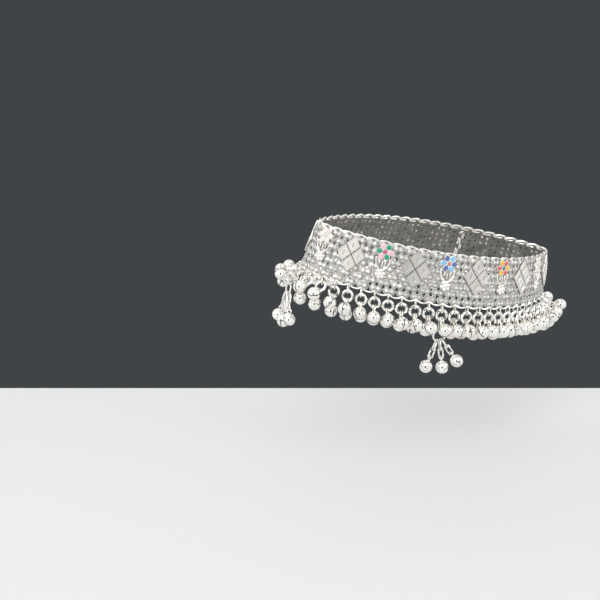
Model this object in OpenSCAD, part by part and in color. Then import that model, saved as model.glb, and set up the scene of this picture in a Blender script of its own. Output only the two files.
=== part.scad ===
// A silver payal anklet: a leaning mesh band with engraved diamond plates and
// enamelled flower plaques, a fringe of jump rings and bells, and two tassels.
// Millimetres, +Z up. The origin is the middle of the ankle opening. The instep
// end points to -X, the heel end to +X, and the outer side of the foot to -Y.

/* [Loop] */
// Length of the loop from its instep end to its heel end, on the inside of the mesh
loop_len = 107; // [100:1:112]
// Radius of the bend over the instep
front_r = 10; // [9:0.5:12]
// Radius of the bend round the heel
back_r = 8.5; // [8:0.5:12]
// Radius of the two long sides
side_r = 68; // [66:1:76]
// Degrees by which the instep end is raised
front_lift = 9; // [0:1:12]
// Degrees by which the outer side sags
side_sag = 5; // [0:1:8]

/* [Band] */
// Height of the mesh band
band_h = 19; // [18:0.5:20]
// Thickness of the mesh
mesh_t = 1; // [0.9:0.1:1.3]
// Outward run of the wall for each millimetre that it drops
lean = 0.21; // [0.1:0.01:0.25]
// Radius of the wire along the top and the bottom edge
rail_r = 0.75; // [0.65:0.05:0.9]
// Number of diamonds, and of flowers, round the loop
pairs = 10; // [10:1:10]
// Number of hanging rings for each diamond
rings_per_pair = 5; // [5:1:5]
// Distance along the band from one flower to the next
flower_run = 25.1; // [24.8:0.1:25.2]

/* [Diamonds] */
// Width of a diamond plate
diamond_w = 12.2; // [11:0.2:12.6]
// Height of a diamond plate
diamond_h = 14.8; // [13.6:0.2:15.2]
// Height of its relief above its backing
diamond_relief = 0.55; // [0.3:0.05:0.8]

/* [Flowers] */
// Radius of the circle through the petals' centres
petal_ring_r = 2.15; // [2:0.05:2.3]
// Length of an enamel petal
petal_len = 2.1; // [1.8:0.1:2.2]
// Width of an enamel petal
petal_w = 1.7; // [1.4:0.1:1.8]
// Radius of the two curved arms of the cup below the flower
cup_r = 4.6; // [4.3:0.1:4.8]
// Radius of the small blossom below the cup
blossom_r = 2.1; // [1.8:0.1:2.2]

/* [Fringe] */
// Radius of a jump ring, at the middle of its wire
ring_r = 2.05; // [2:0.05:2.1]
// Radius of a jump ring's wire
ring_wire_r = 0.45; // [0.35:0.05:0.45]
// Radius of a bell
bell_r = 2.55; // [2.4:0.05:2.55]
// Outward swing of the fringe over the instep, in degrees
instep_flare = 58; // [45:1:62]
// Outward swing of the fringe round the heel, in degrees
heel_flare = 42; // [35:1:55]
// Length of band on each side of an end over which the swing fades out
flare_run = 34; // [28:1:36]

/* [Tassels] */
// Number of links in each strand of a tassel
strand_links = 2; // [2:1:2]
// Length of a strand's link, at the middle of its wire
link_len = 4.5; // [4:0.1:4.8]

/* [Hidden] */
$fn = 48;
// Clear space left between pieces that are not soldered
gap = 0.1;
// Step between the sides and the ends, and the angle by which the ends run into them
hair = 0.02;
lap = 1;
rings = pairs * rings_per_pair;
diamond_names = [for (i = [0 : pairs - 1]) str("diamond_plate_", i + 1)];
plaque_names = [for (i = [0 : pairs - 1]) str("flower_plaque_", i + 1)];
enamel_names = [for (i = [0 : pairs - 1]) str("enamel_flower_", i + 1)];
tassel_names = ["tassel_1", "tassel_2"];

// The loop is four tangent arcs: two ends on the X axis and two long sides
end_span = loop_len - front_r - back_r;
front_cx = front_r - loop_len / 2;
back_cx = loop_len / 2 - back_r;
to_front = side_r - front_r;
to_back = side_r - back_r;
side_dx = (to_front * to_front - to_back * to_back + end_span * end_span) / (2 * end_span);
side_cx = front_cx + side_dx;
side_cy = sqrt(to_front * to_front - side_dx * side_dx);
front_turn = atan2(side_cy, side_dx);
back_turn = atan2(side_cy, end_span - side_dx);
side_turn = 180 - front_turn - back_turn;
DEG = PI / 180;
front_arc = front_r * front_turn * DEG;
side_arc = side_r * side_turn * DEG;
back_arc = back_r * back_turn * DEG;
half_loop = front_arc + side_arc + back_arc;
loop = 2 * half_loop;
lean_deg = atan(lean);
half_h = band_h / 2;
wall_h = band_h - 2 * (rail_r + gap);
ring_run = loop / rings;

// Places of the first flower and ring, measured from the instep end along the outer side
first_flower = 7.6;
first_ring = 11.75;
// Flowers from this one on are counted back from the loop's end: the clasp lies before it
after_clasp = 7;
diamond_z = half_h - diamond_h / 2 - 0.1;
flower_z = half_h - 3.4;
plate_in = mesh_t / 2 + rail_r + gap;
plate_out = plate_in + 0.6;

// Direction that the wall faces at a distance along the outer half of the loop
function half_facing(s) =
    s < front_arc ? 180 + s / front_r / DEG :
    s < front_arc + side_arc ? 180 + front_turn + (s - front_arc) / side_r / DEG :
    360 - (half_loop - s) / back_r / DEG;
function around(s) = s - loop * floor(s / loop);
function on_far(s) = around(s) > half_loop;
function near_s(s) = on_far(s) ? loop - around(s) : around(s);
function facing(s) = on_far(s) ? 360 - half_facing(near_s(s)) : half_facing(near_s(s));
function arc_centre(t) =
    t < front_arc ? [front_cx, 0] :
    t < front_arc + side_arc ? [side_cx, side_cy] : [back_cx, 0];
function arc_radius(t) =
    t < front_arc ? front_r : t < front_arc + side_arc ? side_r : back_r;
function wall_xy(s, out) =
    let (t = near_s(s), c = arc_centre(t), r = arc_radius(t) + out, a = half_facing(t),
         p = [c[0] + r * cos(a), c[1] + r * sin(a)])
    [p[0], on_far(s) ? -p[1] : p[1]];
// A point of the wall at a distance s, a height z and an outward offset out
function wall_point(s, z, out) =
    let (p = wall_xy(s, out - lean * z)) [p[0], p[1], z];
// The same point once the loop is tipped as it is worn
function lifted(p) =
    [p[0] * cos(front_lift) + p[2] * sin(front_lift), p[1],
     -p[0] * sin(front_lift) + p[2] * cos(front_lift)];
function worn_point(p) =
    let (q = lifted(p))
    [q[0], q[1] * cos(side_sag) - q[2] * sin(side_sag),
     q[1] * sin(side_sag) + q[2] * cos(side_sag)];
function fade(d) = d > flare_run ? 0 : (1 + cos(180 * d / flare_run)) / 2;
// Outward swing of what hangs at a distance s
function flare(s) =
    let (t = near_s(s)) instep_flare * fade(t) + heel_flare * fade(half_loop - t);
function flower_s(i) =
    first_flower + (i < after_clasp ? i * flower_run : loop - (pairs - i) * flower_run);
function diamond_s(i) = flower_s(i) - flower_run / 2;
function ring_s(i) = first_ring + i * ring_run;
// Every other bell hangs a little further out, which keeps the row from touching
function stagger(i) = i % 2 == 0 ? 0.45 : -0.45;

module worn() {
    rotate([side_sag, 0, 0]) rotate([0, front_lift, 0]) children();
}

// Puts children on the wall: X along the band, Z up the wall, -Y outward
module on_wall(s, z, out = 0) {
    translate(wall_point(s, z, out))
        rotate([0, 0, facing(s) + 90])
            rotate([-lean_deg, 0, 0]) children();
}

// Puts children under the lower edge: they hang down, swung outward
module hanging(s, swing) {
    translate(worn_point(wall_point(s, -half_h, mesh_t / 2)))
        rotate([0, 0, facing(s) + 90])
            rotate([-swing, 0, 0]) children();
}

// Sweeps the first child, a section drawn at a radius of zero, along both sides, and
// the second one, a hair smaller, round both ends and a little way into the sides
module round_loop() {
    translate([front_cx, 0, 0])
        rotate([0, 0, 180 - front_turn - lap])
            rotate_extrude(angle = 2 * (front_turn + lap)) translate([front_r, 0]) children(1);
    translate([back_cx, 0, 0])
        rotate([0, 0, -back_turn - lap])
            rotate_extrude(angle = 2 * (back_turn + lap)) translate([back_r, 0]) children(1);
    translate([side_cx, side_cy, 0])
        rotate([0, 0, 180 + front_turn])
            rotate_extrude(angle = side_turn) translate([side_r, 0]) children(0);
    translate([side_cx, -side_cy, 0])
        rotate([0, 0, back_turn])
            rotate_extrude(angle = side_turn) translate([side_r, 0]) children(0);
}

// The section of a wall between two heights and two offsets
module wall_section(lo, hi, inner, outer) {
    polygon([[inner - lean * lo, lo], [outer - lean * lo, lo],
             [outer - lean * hi, hi], [inner - lean * hi, hi]]);
}

// The mesh wall round the whole loop
module wall() {
    round_loop() {
        wall_section(-wall_h / 2, wall_h / 2, 0, mesh_t);
        wall_section(-wall_h / 2 + hair, wall_h / 2 - hair, hair, mesh_t - hair);
    }
}

// An eight-sided wire round the whole loop, at the middle of the wall's thickness
module edge_wire(z) {
    round_loop() {
        translate([mesh_t / 2 - lean * z, z]) circle(rail_r, $fn = 8);
        translate([mesh_t / 2 - lean * z, z]) circle(rail_r - hair, $fn = 8);
    }
}

// A flat plate of the outline given as children, lying on the wall
module plate_on_wall(s, z, inner, outer) {
    on_wall(s, z)
        rotate([90, 0, 0])
            translate([0, 0, inner]) linear_extrude(outer - inner) children();
}

module rhombus(w, h) {
    polygon([[-w / 2, 0], [0, -h / 2], [w / 2, 0], [0, h / 2]]);
}

module oval(len, r) {
    translate([0, len / 2]) circle(r);
    translate([0, -len / 2]) circle(r);
    square([2 * r, len], center = true);
}

// A link of round-ended outline with its long way up, in the XZ plane
module wire_loop(len, r, wire_r) {
    rotate([90, 0, 0])
        linear_extrude(2 * wire_r, center = true)
            difference() {
                oval(len, r + wire_r);
                oval(len, r - wire_r);
            }
}

module ring(r, wire_r) {
    rotate([90, 0, 0]) rotate_extrude() translate([r, 0]) circle(wire_r);
}

// Hook: a loop under the edge wire, set square to the band, its top sunk in the wire
hook_wire = 0.5;
hook_hole_r = ring_wire_r + 0.15;
hook_len = 3.5;
hook_top = 0.1;
module hook() {
    translate([0, 0, hook_top - hook_len / 2])
        rotate([0, 0, 90])
            wire_loop(hook_len - 2 * (hook_hole_r + hook_wire), hook_hole_r + hook_wire / 2, hook_wire / 2);
}

// Middle and foot of a jump ring that hangs in the hook's lower end
ring_z = hook_top - hook_len + hook_wire + gap + ring_wire_r - ring_r;
ring_foot_z = ring_z - ring_r;

// Holes of the mesh: two staggered rows below, and one window on each side of a plaque
hole = 1.5;
low_row_z = 2.1 - half_h;
high_row_z = 4.5 - half_h;
window = 2;
window_z = -1.6;
window_run = 5.6;
module mesh_hole(s, z, size) {
    on_wall(s, z) rotate([0, 45, 0]) cube([size, 5, size], center = true);
}

module mesh_holes() {
    for (i = [0 : rings - 1]) {
        mesh_hole(ring_s(i), low_row_z, hole);
        mesh_hole(ring_s(i + 0.5), high_row_z, hole);
    }
    for (i = [0 : pairs - 1], side = [-1, 1])
        mesh_hole(flower_s(i) + side * window_run, window_z, window);
}

// The mesh parts behind the clasp, on the side that faces the other foot
clasp_s = (flower_s(after_clasp - 1) + diamond_s(after_clasp)) / 2;
clasp_slit = 0.6;
module mesh_band() {
    color("silver")
        worn() difference() {
            wall();
            mesh_holes();
            on_wall(clasp_s, 0) cube([clasp_slit, 8, band_h + 6], center = true);
        }
}

// Wire along the top edge
module top_wire() {
    color("silver")
        worn() edge_wire(half_h);
}

// Wire along the bottom edge, with the hooks soldered to it
module hook_wire_row() {
    color("silver") {
        worn() edge_wire(-half_h);
        for (i = [0 : rings - 1]) hanging(ring_s(i), flare(ring_s(i))) hook();
    }
}

// Plain bar that closes the loop on its hidden side
clasp_r = 1.3;
module clasp_bar() {
    color("silver")
        worn() on_wall(clasp_s, 0, mesh_t + gap + clasp_r)
            cylinder(h = band_h - 5, r = clasp_r, center = true);
}

// Diamond: four small stepped diamonds raised on one backing
diamond_groove = 0.5;
diamond_step = 1.7;
step_rise = 0.25;
module small_diamonds(inset) {
    for (p = [[-1, 0], [1, 0], [0, -1], [0, 1]])
        translate([p[0] * diamond_w / 4, p[1] * diamond_h / 4])
            rhombus(diamond_w / 2 - inset, (diamond_w / 2 - inset) * diamond_h / diamond_w);
}

module diamond_plate(i) {
    s = diamond_s(i);
    color("silver") worn() union() {
        plate_on_wall(s, diamond_z, plate_in, plate_out) rhombus(diamond_w, diamond_h);
        plate_on_wall(s, diamond_z, plate_in, plate_out + diamond_relief - step_rise)
            small_diamonds(diamond_groove);
        plate_on_wall(s, diamond_z, plate_in, plate_out + diamond_relief)
            small_diamonds(diamond_groove + diamond_step);
    }
}

// Plaque: a six-lobed setting, a stem, a cup of two curved arms and a small blossom below
setting_rim = 0.25;
stem_w = 1.2;
cup_side = 1.6;
cup_z = -3.4;
cup_arm = 0.7;
cup_top_z = -2.6;
blossom_z = -8.7;
cup_rise = 0.3;
dome_r = 1.3;
dome_sink = 0.3;
module setting() {
    circle(petal_ring_r);
    for (a = [0 : 60 : 300]) rotate(a) translate([petal_ring_r, 0]) circle(petal_w / 2 + setting_rim);
}

module pointed_oval(r) {
    intersection() {
        translate([cup_side, cup_z]) circle(r);
        translate([-cup_side, cup_z]) circle(r);
    }
}

module cup() {
    difference() {
        pointed_oval(cup_r);
        pointed_oval(cup_r - cup_arm);
        translate([-cup_r, cup_top_z]) square(2 * cup_r);
    }
}

// The outward half of a ball
module dome() {
    intersection() {
        sphere(dome_r);
        translate([0, -1.5 * dome_r, 0]) cube(3 * dome_r, center = true);
    }
}

module flower_plaque(i) {
    s = flower_s(i);
    color("silver") worn() union() {
        plate_on_wall(s, flower_z, plate_in, plate_out) {
            setting();
            translate([-stem_w / 2, blossom_z]) square([stem_w, -blossom_z]);
            translate([0, blossom_z]) circle(blossom_r);
        }
        plate_on_wall(s, flower_z, plate_in, plate_out + cup_rise) cup();
        on_wall(s, flower_z) translate([0, dome_sink - plate_out, blossom_z]) dome();
    }
}

// Enamel: six petals round a middle, raised on the setting
enamel_rise = 0.45;
enamel_mid_r = 1.3;
module enamel_flower(i) {
    color(["seagreen", "cornflowerblue", "goldenrod"][(i + 2) % 3])
        worn() plate_on_wall(flower_s(i), flower_z, plate_out + gap / 2, plate_out + enamel_rise) {
            circle(enamel_mid_r);
            for (a = [0 : 60 : 300])
                rotate(a) translate([petal_ring_r, 0]) rotate(90)
                    oval(petal_len - petal_w + 0.3, petal_w / 2 - 0.15);
        }
}

// Bell: a ball with a seam, a slit below and an eye on a neck above, its axis on Z
eye_r = 0.9;
eye_wire_r = 0.26;
seam_rise = 0.05;
seam_h = 0.3;
neck_r = 0.4;
neck_sink = 0.4;
// How far the wire beside a jump ring's foot lies above the foot itself
foot_rise = 0.07;
eye_slack = eye_r - eye_wire_r - ring_wire_r - gap - foot_rise;
module bell(reach) {
    difference() {
        union() {
            sphere(bell_r);
            cylinder(h = seam_h, r = bell_r + seam_rise, center = true);
            translate([0, 0, bell_r - neck_sink])
                cylinder(h = reach - eye_r + 0.1 - bell_r + neck_sink, r = neck_r);
            translate([0, 0, reach]) rotate([0, 0, 90]) ring(eye_r, eye_wire_r);
        }
        translate([0, 0, -bell_r]) cube([4, 0.5, 1.8], center = true);
    }
}

// A bell with its middle at [x, y, z], hung on the wire that crosses at height eye_z
module hung_bell(x, y, z, eye_z) {
    rise = eye_z - z;
    translate([x, y, z]) rotate([atan2(y, rise), 0, 0])
        bell(norm([y, rise]) - eye_slack);
}

// Two bells hang in each ring: one outside and one lower inside, their eyes side by side
outer_bell_y = -2.85;
outer_bell_z = ring_foot_z - 2.95;
inner_bell_y = 2;
inner_bell_z = ring_foot_z - 5.2;
eye_shift = 0.4;
// The tassels take the inner bell's place in two rings, and push the outer one out
tassel_rings = [9, 48];
tassel_push = 1.2;
function has_tassel(i) = i == tassel_rings[0] || i == tassel_rings[1];

module jump_rings() {
    color("silver") for (i = [0 : rings - 1])
        hanging(ring_s(i), flare(ring_s(i))) translate([0, 0, ring_z]) ring(ring_r, ring_wire_r);
}

module outer_bells() {
    color("silver") for (i = [0 : rings - 1])
        hanging(ring_s(i), flare(ring_s(i)))
            hung_bell(eye_shift, outer_bell_y - (has_tassel(i) ? tassel_push : stagger(i)),
                      outer_bell_z, ring_foot_z);
}

module inner_bells() {
    color("silver") for (i = [0 : rings - 1]) if (!has_tassel(i))
        hanging(ring_s(i), flare(ring_s(i)))
            hung_bell(-eye_shift, inner_bell_y - stagger(i), inner_bell_z, ring_foot_z);
}

// Tassel: a link and a hub ring behind the outer bell, then strands with a bell each.
// It swings about the jump ring's foot, back towards the foot that wears it.
link_r = 0.85;
link_wire_r = 0.3;
drop_r = 0.92;
drop_len = [5.8, 4.4];
tassel_swing = [0, 44];
hub_r = 2.4;
strand_turns = [-20, 9, 36];
drop_top = ring_wire_r + link_wire_r + 2 * gap;
tassel_bell_reach = bell_r + eye_r + eye_wire_r - 0.15;
tassel_bell_slack = eye_r - eye_wire_r - link_wire_r - gap;
module tassel(k) {
    s = ring_s(tassel_rings[k]);
    hub_z = drop_top - drop_len[k] + 2 * link_wire_r + gap - hub_r;
    color("silver") hanging(s, flare(s))
        translate([0, 0, ring_foot_z]) rotate([tassel_swing[k], 0, 0]) translate([-eye_shift, 0, 0]) {
            translate([0, 0, drop_top - drop_len[k] / 2]) rotate([0, 0, 90])
                wire_loop(drop_len[k] - 2 * drop_r, drop_r, link_wire_r);
            translate([0, 0, hub_z]) {
                ring(hub_r, link_wire_r);
                for (a = strand_turns) rotate([0, -a, 0]) translate([0, 0, -hub_r]) strand();
            }
        }
}

// One strand, hung on a wire that crosses along X at its origin. Two flat links need
// more slack between them than a link and a round wire.
link_slack = 0.2;
module strand() {
    hang_len = link_len - 2 * link_wire_r - gap;
    run = hang_len - link_slack;
    for (j = [0 : strand_links - 1])
        translate([0, 0, 2 * link_wire_r + gap - link_len / 2 - j * run])
            rotate([0, 0, j % 2 == 0 ? 90 : 0])
                wire_loop(link_len - 2 * link_r, link_r, link_wire_r);
    translate([0, 0, -(strand_links - 1) * run - hang_len - tassel_bell_slack - tassel_bell_reach])
        bell(tassel_bell_reach);
}

for (i = [0 : pairs - 1]) {
    diamond_plate(i);
    flower_plaque(i);
    enamel_flower(i);
}
for (k = [0 : 1])
    tassel(k);
mesh_band();
top_wire();
hook_wire_row();
clasp_bar();
jump_rings();
outer_bells();
inner_bells();
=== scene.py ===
from math import atan, atan2, cos, hypot, pi, radians, sin, sqrt

import bmesh
import bpy
from mathutils import Matrix, Vector, noise


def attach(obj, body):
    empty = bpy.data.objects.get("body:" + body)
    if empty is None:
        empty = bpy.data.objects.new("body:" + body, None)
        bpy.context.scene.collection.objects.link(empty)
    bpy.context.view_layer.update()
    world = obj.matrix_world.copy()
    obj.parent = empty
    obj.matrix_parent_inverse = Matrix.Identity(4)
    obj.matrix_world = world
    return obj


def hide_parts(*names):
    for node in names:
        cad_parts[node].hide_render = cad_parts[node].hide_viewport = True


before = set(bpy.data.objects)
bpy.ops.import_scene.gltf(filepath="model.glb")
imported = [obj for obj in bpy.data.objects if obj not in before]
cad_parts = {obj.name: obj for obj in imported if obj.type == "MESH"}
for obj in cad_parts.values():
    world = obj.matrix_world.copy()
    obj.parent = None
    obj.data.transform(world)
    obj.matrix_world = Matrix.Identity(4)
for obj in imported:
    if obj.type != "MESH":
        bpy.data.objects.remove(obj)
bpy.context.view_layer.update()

# Camera: it stands where the photo was taken from, a little above the anklet and turned
# from the outer side towards the front end.
CAMERA_PLACE = (-0.1123, -0.2509, 0.0649)
CAMERA_TURN = 12.2
CAMERA_DOWN = 17.36
camera_data = bpy.data.cameras.new("camera")
camera_data.sensor_width = 36
camera_data.lens = 38.43
camera_data.clip_start = 0.01
camera = bpy.data.objects.new("camera", camera_data)
camera.location = CAMERA_PLACE
camera.rotation_euler = (radians(90 - CAMERA_DOWN), 0, radians(-CAMERA_TURN))
bpy.context.collection.objects.link(camera)
bpy.context.scene.camera = camera

# Studio: a pale floor whose far edge is a little behind the anklet, two soft boxes and a
# light tent, all of it plain. The tent is bright round a dark opening for the lens.
FLOOR_Z = -0.08
FLOOR_SIZE = (1.6, 0.8)
FLOOR_FAR_EDGE = 0.308
heading = Vector((sin(radians(CAMERA_TURN)), cos(radians(CAMERA_TURN)), 0))
floor_middle = Vector(CAMERA_PLACE) + heading * (FLOOR_FAR_EDGE - FLOOR_SIZE[1] / 2)
bm = bmesh.new()
bmesh.ops.create_grid(bm, x_segments=1, y_segments=1, size=0.5)
bmesh.ops.scale(bm, verts=bm.verts, vec=(FLOOR_SIZE[0], FLOOR_SIZE[1], 1))
bmesh.ops.rotate(bm, verts=bm.verts, matrix=Matrix.Rotation(radians(-CAMERA_TURN), 3, "Z"))
bmesh.ops.translate(bm, verts=bm.verts, vec=(floor_middle.x, floor_middle.y, FLOOR_Z))
floor_mesh = bpy.data.meshes.new("floor")
bm.to_mesh(floor_mesh)
bm.free()
floor = bpy.data.objects.new("floor", floor_mesh)
bpy.context.collection.objects.link(floor)
floor_finish = bpy.data.materials.new("floor")
floor_finish.use_nodes = True
floor_shader = floor_finish.node_tree.nodes["Principled BSDF"]
floor_shader.inputs["Base Color"].default_value = (0.66, 0.66, 0.67, 1)
floor_shader.inputs["Roughness"].default_value = 0.7
floor_mesh.materials.append(floor_finish)


def soft_box(name, place, target, size, power):
    """A round soft box that shines on a target."""
    light_data = bpy.data.lights.new(name, "AREA")
    light_data.shape = "DISK"
    light_data.size = size
    light_data.energy = power
    light = bpy.data.objects.new(name, light_data)
    light.location = place
    light.rotation_euler = (Vector(target) - Vector(place)).to_track_quat("-Z", "Y").to_euler()
    light.visible_camera = False
    bpy.context.collection.objects.link(light)


soft_box("key_box", (-0.35, -0.35, 0.45), (0, 0, 0), 0.35, 1.1)
soft_box("side_box", (0.45, -0.25, 0.2), (0, 0, 0), 0.3, 0.5)

# The tent's light by its angle from the lens: 0 is straight behind the anklet, 1 the lens.
# Seams of the tent show as dark arcs on both sides.
TENT = [(0.0, 0.06), (0.05, 0.26), (0.12, 0.9), (0.3, 1.24), (0.972, 1.6), (0.985, 0.06), (1.0, 0.02)]
TENT_SEAMS = [(0.0, 1.0), (0.5, 1.0), (0.53, 0.35), (0.6, 0.35), (0.63, 1.15), (0.76, 1.2),
              (0.79, 0.3), (0.86, 0.3), (0.89, 1.2), (1.0, 1.0)]
TENT_MIDDLE = 0.8
TENT_FALL = 0.2
TENT_SIDE_FALL = 0.26
BACKDROP = (0.052, 0.058, 0.061, 1)
lens_way = Vector(CAMERA_PLACE).normalized()
right_way = Vector((cos(radians(CAMERA_TURN)), -sin(radians(CAMERA_TURN)), 0))
world = bpy.data.worlds.new("studio")
world.use_nodes = True
bpy.context.scene.world = world
nodes = world.node_tree.nodes
links = world.node_tree.links
nodes.clear()
direction = nodes.new("ShaderNodeTexCoord")


def along(way, factor, offset):
    """How far a ray runs along a way, scaled and offset, between 0 and 1."""
    dot = nodes.new("ShaderNodeVectorMath")
    dot.operation = "DOT_PRODUCT"
    dot.inputs[1].default_value = way
    scaled = nodes.new("ShaderNodeMath")
    scaled.operation = "MULTIPLY_ADD"
    scaled.use_clamp = True
    scaled.inputs[1].default_value = factor
    scaled.inputs[2].default_value = offset
    links.new(direction.outputs["Generated"], dot.inputs[0])
    links.new(dot.outputs["Value"], scaled.inputs[0])
    return scaled.outputs["Value"]


def light_ramp(stops):
    """A ramp of plain light from its stops of position and strength."""
    ramp = nodes.new("ShaderNodeValToRGB")
    elements = ramp.color_ramp.elements
    for element, (position, light) in zip(elements, (stops[0], stops[-1])):
        element.position = position
        element.color = (light, light, light, 1)
    for position, light in stops[1:-1]:
        elements.new(position).color = (light, light, light, 1)
    return ramp


to_lens = along(lens_way, 0.5, 0.5)
tent = light_ramp(TENT)
seams = light_ramp(TENT_SEAMS)
links.new(to_lens, tent.inputs["Fac"])
links.new(to_lens, seams.inputs["Fac"])
seamed = nodes.new("ShaderNodeMix")
seamed.data_type = "RGBA"
seamed.blend_type = "MULTIPLY"
both_sides = nodes.new("ShaderNodeMath")
both_sides.operation = "MAXIMUM"
links.new(along(right_way, 4, -0.4), both_sides.inputs[0])
links.new(along(-right_way, 4, -0.9), both_sides.inputs[1])
links.new(both_sides.outputs["Value"], seamed.inputs["Factor"])
links.new(tent.outputs["Color"], seamed.inputs["A"])
links.new(seams.outputs["Color"], seamed.inputs["B"])
height = along(Vector((0, 0, TENT_FALL)) - right_way * TENT_SIDE_FALL, 0.5, TENT_MIDDLE)
tent_light = nodes.new("ShaderNodeBackground")
links.new(seamed.outputs["Result"], tent_light.inputs["Color"])
links.new(height, tent_light.inputs["Strength"])
backdrop = nodes.new("ShaderNodeBackground")
backdrop.inputs["Color"].default_value = BACKDROP
ray = nodes.new("ShaderNodeLightPath")
seen = nodes.new("ShaderNodeMixShader")
out = nodes.new("ShaderNodeOutputWorld")
links.new(ray.outputs["Is Camera Ray"], seen.inputs["Fac"])
links.new(tent_light.outputs["Background"], seen.inputs[1])
links.new(backdrop.outputs["Background"], seen.inputs[2])
links.new(seen.outputs["Shader"], out.inputs["Surface"])
bpy.context.scene.view_settings.view_transform = "Standard"

# Mesh band: rows of small cast silver links with six arms and a ridge along them, each
# soldered to its neighbours by the arms' tips. The band leans outward towards its lower edge.
MM = 0.001
LOOP_LENGTH = 107
FRONT_R = 10
BACK_R = 8.5
SIDE_R = 68
FRONT_LIFT = 9
SIDE_SAG = 5
BAND_H = 19
BAND_T = 1
LEAN = 0.21
PAIRS = 10
RINGS = 50
FIRST_FLOWER = 7.6
FLOWER_RUN = 25.1
AFTER_CLASP = 7
FIRST_RING = 11.75

end_span = LOOP_LENGTH - FRONT_R - BACK_R
front_cx = FRONT_R - LOOP_LENGTH / 2
back_cx = LOOP_LENGTH / 2 - BACK_R
to_front = SIDE_R - FRONT_R
to_back = SIDE_R - BACK_R
side_dx = (to_front ** 2 - to_back ** 2 + end_span ** 2) / (2 * end_span)
side_cy = sqrt(to_front ** 2 - side_dx ** 2)
front_turn = atan2(side_cy, side_dx)
back_turn = atan2(side_cy, end_span - side_dx)
front_arc = FRONT_R * front_turn
side_arc = SIDE_R * (pi - front_turn - back_turn)
half_loop = front_arc + side_arc + BACK_R * back_turn
loop = 2 * half_loop
worn = Matrix.Rotation(radians(SIDE_SAG), 4, "X") @ Matrix.Rotation(radians(FRONT_LIFT), 4, "Y")


def wall_spot(s, out):
    """Place and facing of the band's wall at a distance s from the front end."""
    on_far = s % loop > half_loop
    t = loop - s % loop if on_far else s % loop
    if t < front_arc:
        cx, cy, r, turn = front_cx, 0, FRONT_R, pi + t / FRONT_R
    elif t < front_arc + side_arc:
        cx, cy, r, turn = front_cx + side_dx, side_cy, SIDE_R, pi + front_turn + (t - front_arc) / SIDE_R
    else:
        cx, cy, r, turn = back_cx, 0, BACK_R, 2 * pi - (half_loop - t) / BACK_R
    x = cx + (r + out) * cos(turn)
    y = cy + (r + out) * sin(turn)
    return (x, -y, 2 * pi - turn) if on_far else (x, y, turn)


def on_band(s, z, out=0.0):
    """A place on the band: X runs along it, Z up the wall and -Y outward."""
    x, y, turn = wall_spot(s, out - LEAN * z)
    return (worn @ Matrix.Translation((x, y, z)) @ Matrix.Rotation(turn + pi / 2, 4, "Z")
            @ Matrix.Rotation(-atan(LEAN), 4, "X"))


def ring_s(i):
    """How far along the band a ring hangs."""
    return FIRST_RING + i * loop / RINGS


def flower_s(i):
    """How far along the band a flower's middle is. The clasp takes up what the runs leave."""
    return FIRST_FLOWER + (i * FLOWER_RUN if i < AFTER_CLASP else loop - (PAIRS - i) * FLOWER_RUN)


def shape(bm, shade_and_tarnish=None):
    """Turns a bmesh into a mesh with its normals outward and its recesses marked for painted shade and
    tarnish.
    """
    bmesh.ops.recalc_face_normals(bm, faces=bm.faces)
    made = bpy.data.meshes.new("shape")
    layer = bm.verts.layers.float.get("shade_and_tarnish") or bm.verts.layers.float.new("shade_and_tarnish")
    if shade_and_tarnish is not None:
        for v in bm.verts:
            v[layer] = shade_and_tarnish(v.co)
    bm.to_mesh(made)
    bm.free()
    return made


def raised(bm, rise):
    """Draws a flat outline out into a block and gives its upper face."""
    made = bmesh.ops.extrude_face_region(bm, geom=bm.faces[:])
    bmesh.ops.translate(bm, verts=[g for g in made["geom"] if isinstance(g, bmesh.types.BMVert)],
                        vec=(0, 0, rise))
    return next(g for g in made["geom"] if isinstance(g, bmesh.types.BMFace))


def engrave(bm, face, steps):
    """Works inward over a face by steps of run, rise and how much painted shade and tarnish the new edge
    gets.
    """
    layer = bm.verts.layers.float.get("shade_and_tarnish") or bm.verts.layers.float.new("shade_and_tarnish")
    for run, rise, dark in steps:
        bmesh.ops.inset_region(bm, faces=[face], thickness=run, depth=rise)
        for v in face.verts:
            v[layer] = dark


def whole(bm):
    """All of a bmesh, for an operator that cuts or spins it."""
    return bm.verts[:] + bm.edges[:] + bm.faces[:]


def add_copies(bm, made, places):
    """Adds a finished shape to a bmesh once at each place."""
    for place in places:
        first = len(bm.verts)
        bm.from_mesh(made)
        bm.verts.ensure_lookup_table()
        bmesh.ops.transform(bm, matrix=place, verts=bm.verts[first:])


def bend_on_band(bm, s, z, stretched=False):
    """Lays flat shapes on the band: X runs along it, Y up the wall and Z outward."""
    near, far = (Vector(wall_spot(s + side, BAND_T)[:2]) for side in (-1, 1))
    along_wall = 1 if stretched else 2 / (far - near).length
    for v in bm.verts:
        spot = on_band(s + v.co.x * along_wall, z + v.co.y * cos(atan(LEAN)))
        v.co = spot @ Vector((0, -v.co.z, 0))


def piece_from(name, parts, finishes, sharp=40, bend=None):
    """One piece from shapes and their places in millimetres, bent on the band if asked."""
    bm = bmesh.new()
    bm.verts.layers.float.new("shade_and_tarnish")
    for made, places in parts:
        add_copies(bm, made, places)
    if bend:
        bend_on_band(bm, *bend)
    bmesh.ops.scale(bm, verts=bm.verts, vec=(MM, MM, MM))
    mesh = bpy.data.meshes.new(name)
    bm.to_mesh(mesh)
    bm.free()
    for finish in finishes:
        mesh.materials.append(finish)
    mesh.polygons.foreach_set("use_smooth", [True] * len(mesh.polygons))
    mesh.set_sharp_from_angle(angle=radians(sharp))
    piece = bpy.data.objects.new(name, mesh)
    bpy.context.collection.objects.link(piece)
    return piece


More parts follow.
